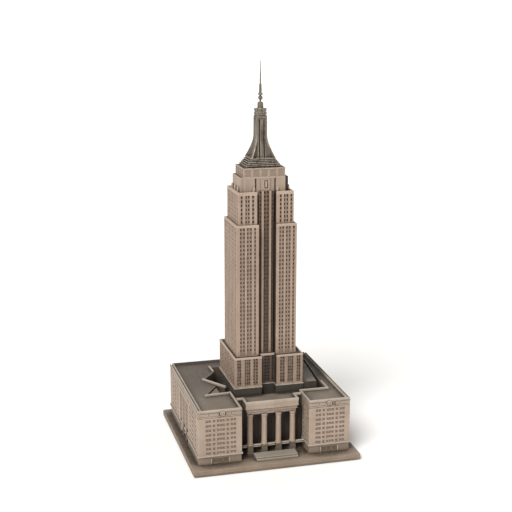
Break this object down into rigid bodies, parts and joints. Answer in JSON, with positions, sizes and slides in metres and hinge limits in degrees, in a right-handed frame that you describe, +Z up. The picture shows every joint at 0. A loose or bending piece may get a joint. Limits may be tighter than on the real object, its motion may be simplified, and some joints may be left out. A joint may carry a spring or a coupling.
{
  "type": "miniature landmark model",
  "caption": "Desk model of a stepped skyscraper with a slender antenna mast, rising from a low block with a columned entrance on a square slab.",
  "frame": {"origin": "centre of the underside of the felt pad, under the middle of the square slab", "axes": "+Z up along the tower, -Y towards the columned entrance side, +X to the right seen from the entrance side"},
  "size_m": [0.1, 0.098, 0.2297],
  "materials": {
    "felt": "dark green-grey pressed felt",
    "slab_stone": "cast stone resin, grey-tan, washed darker towards the walls",
    "wall_stone": "cast stone resin, warm tan with a dark wash in the recesses, matt",
    "dark_storey": "cast stone resin stained dark brown-grey, matt",
    "trim": "cast stone resin, light grey-tan on raised edges, matt",
    "roof": "cast stone resin, grey-brown, matt",
    "plinth": "cast stone resin stained very dark grey-brown, matt",
    "bronze": "grey-brown antiqued metal with rubbed lighter edges, satin",
    "steel": "plain steel fasteners"
  },
  "bodies": {
    "root": {"antenna": "bronze", "base_slab": "slab_stone", "court_coping_long": "trim", "court_coping_short": "trim", "crown_band": "wall_stone", "crown_block": "wall_stone", "felt_pad": "felt", "frieze_emblem_left": "trim", "frieze_emblem_right": "trim", "front_steps": "slab_stone", "ground_storey_left": "dark_storey", "ground_storey_rear": "dark_storey", "ground_storey_right": "dark_storey", "left_coping": "trim", "left_terrace": "roof", "mast": "bronze", "mast_base": "bronze", "mast_cap": "bronze", "podium_core": "dark_storey", "podium_left": "wall_stone", "podium_link": "roof", "podium_rear": "wall_stone", "podium_right": "wall_stone", "portico_column_1": "wall_stone", "portico_column_2": "wall_stone", "portico_column_3": "wall_stone", "portico_column_4": "wall_stone", "portico_coping": "trim", "portico_entablature": "wall_stone", "portico_pedestal_1": "dark_storey", "portico_pedestal_2": "dark_storey", "portico_pedestal_3": "dark_storey", "portico_pedestal_4": "dark_storey", "portico_rail_1": "trim", "portico_rail_2": "trim", "portico_rail_3": "trim", "portico_rail_4": "trim", "portico_rail_5": "trim", "rear_coping": "trim", "right_annex": "plinth", "right_coping": "trim", "side_rail_left": "trim", "side_rail_right": "trim", "slab_screw_1": "steel", "slab_screw_2": "steel", "slab_screw_3": "steel", "slab_screw_4": "steel", "spine_back": "wall_stone", "spine_front": "wall_stone", "string_course_left": "trim", "string_course_rear": "trim", "string_course_right": "trim", "tie_nut": "steel", "tie_rod": "steel", "tie_washer": "steel", "tower_lower_block": "wall_stone", "tower_plinth": "plinth", "tower_shaft": "wall_stone", "tower_upper_tier": "wall_stone"}
  },
  "joints": []
}
